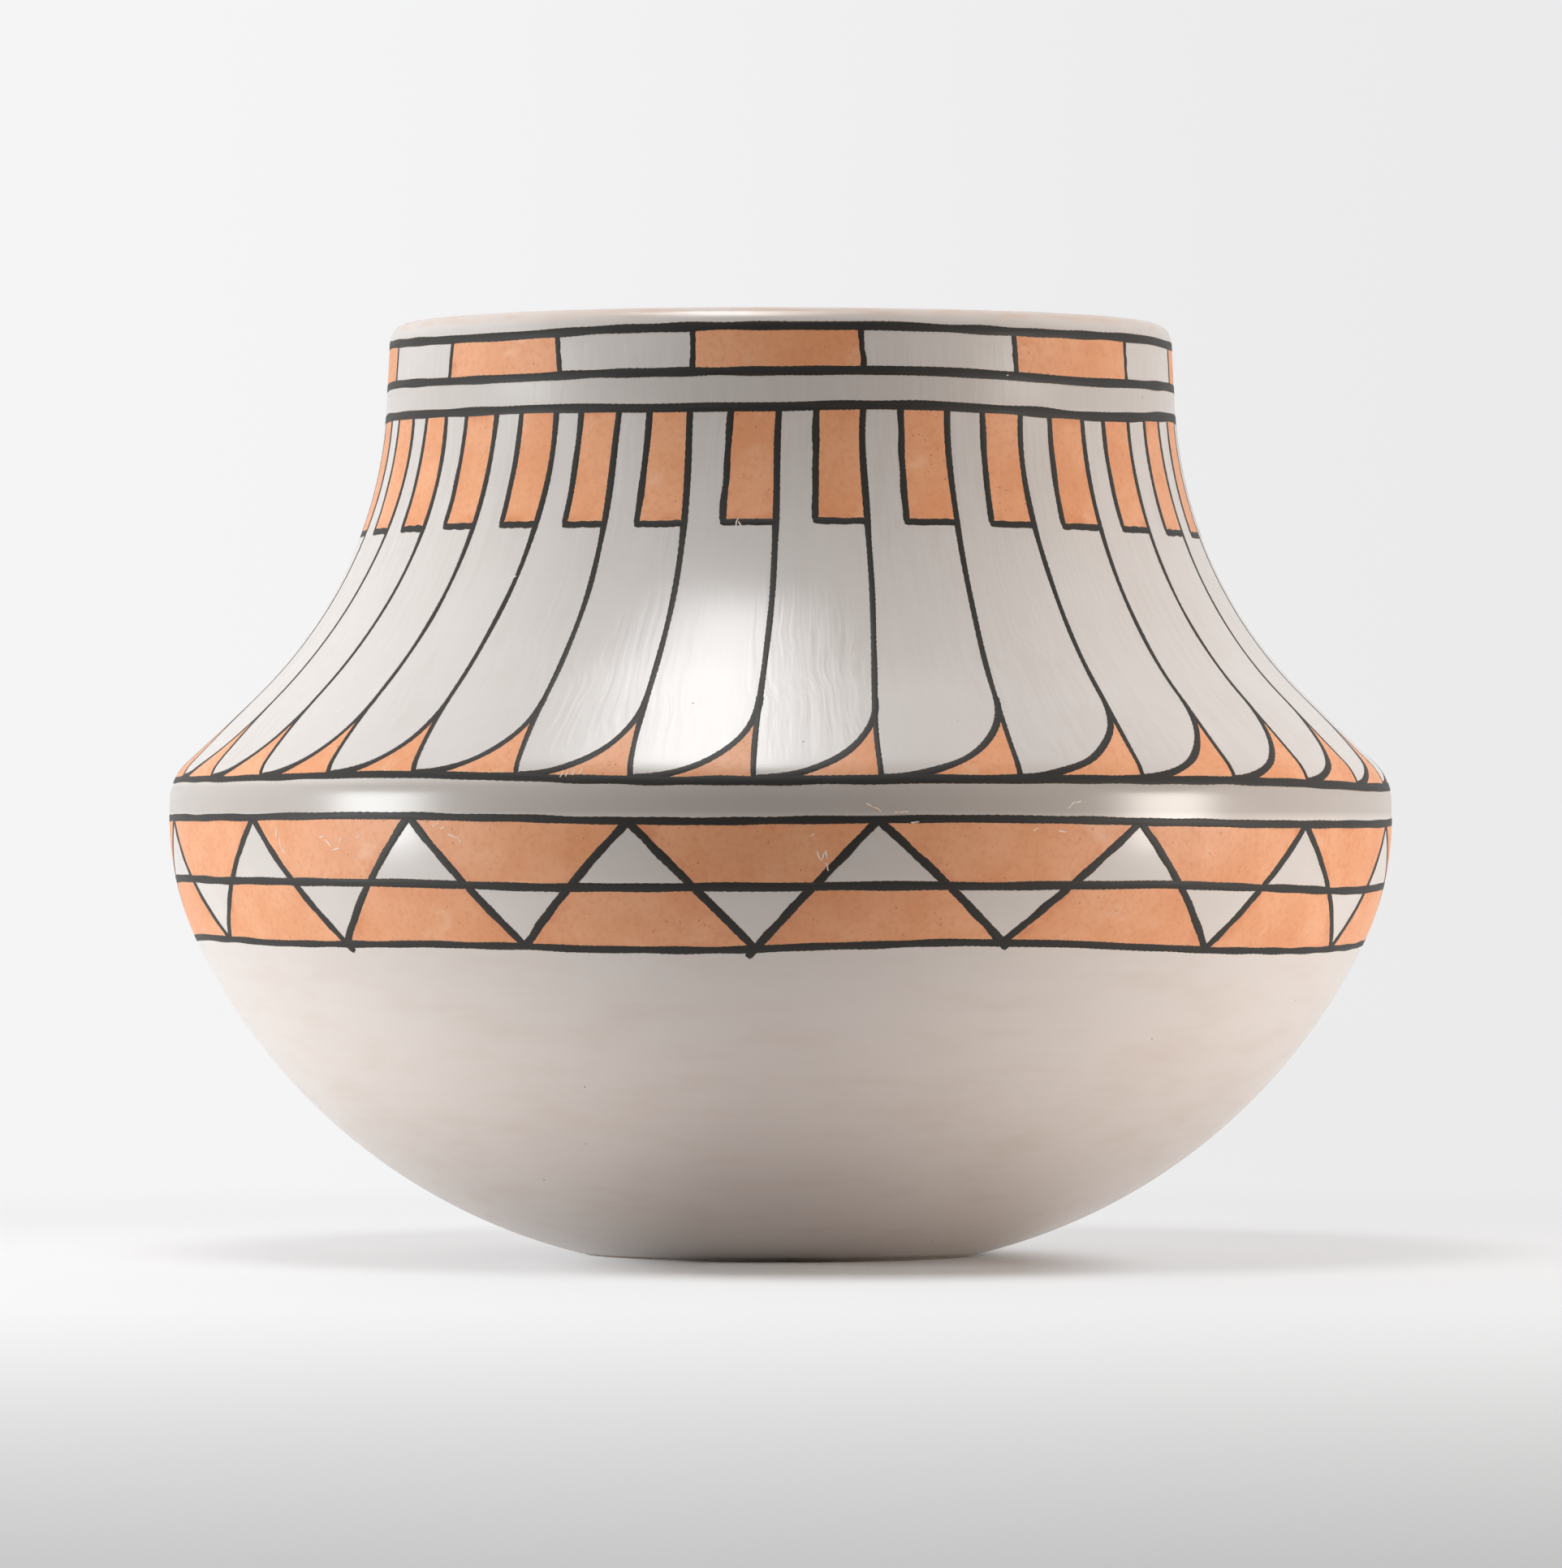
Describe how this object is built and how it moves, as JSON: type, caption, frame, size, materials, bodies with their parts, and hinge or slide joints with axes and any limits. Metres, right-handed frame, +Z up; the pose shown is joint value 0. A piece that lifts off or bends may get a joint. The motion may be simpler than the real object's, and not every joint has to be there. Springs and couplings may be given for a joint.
{
  "type": "pueblo pottery jar",
  "caption": "Coil-built wide-bellied jar with a flat base, sloping shoulder and open neck, coated in grey slip and painted in black and orange bands; holds dry goods or stands on display",
  "frame": {"origin": "centre of the resting face, on the table", "axes": "+Z up along the jar's own axis of revolution; -Y towards the viewer of the picture"},
  "size_m": [0.2554, 0.2554, 0.193],
  "materials": {
    "clay": "matt fired earthenware",
    "slip": "stone burnished, satin",
    "black_paint": "matt mineral paint",
    "orange_paint": "satin clay paint"
  },
  "bodies": {
    "root": {"moulded_base": "clay", "bowl_coil_lower": "clay", "bowl_coil_middle": "clay", "bowl_coil_upper": "clay", "belly_coil": "clay", "shoulder_coil_lower": "clay", "shoulder_coil_middle": "clay", "shoulder_coil_upper": "clay", "neck_coil": "clay", "rim_coil": "clay", "slip_coat": "slip", "rim_line_upper": "black_paint", "rim_line_lower": "black_paint", "neck_line": "black_paint", "shoulder_line": "black_paint", "belt_line_upper": "black_paint", "belt_line_middle": "black_paint", "belt_line_lower": "black_paint", "rim_dividers": "black_paint", "feather_outlines": "black_paint", "belt_zigzag_upper": "black_paint", "belt_zigzag_lower": "black_paint", "rim_blocks": "orange_paint", "feather_blocks": "orange_paint", "feather_tips": "orange_paint", "belt_panels_upper": "orange_paint", "belt_panels_lower": "orange_paint"}
  },
  "joints": []
}
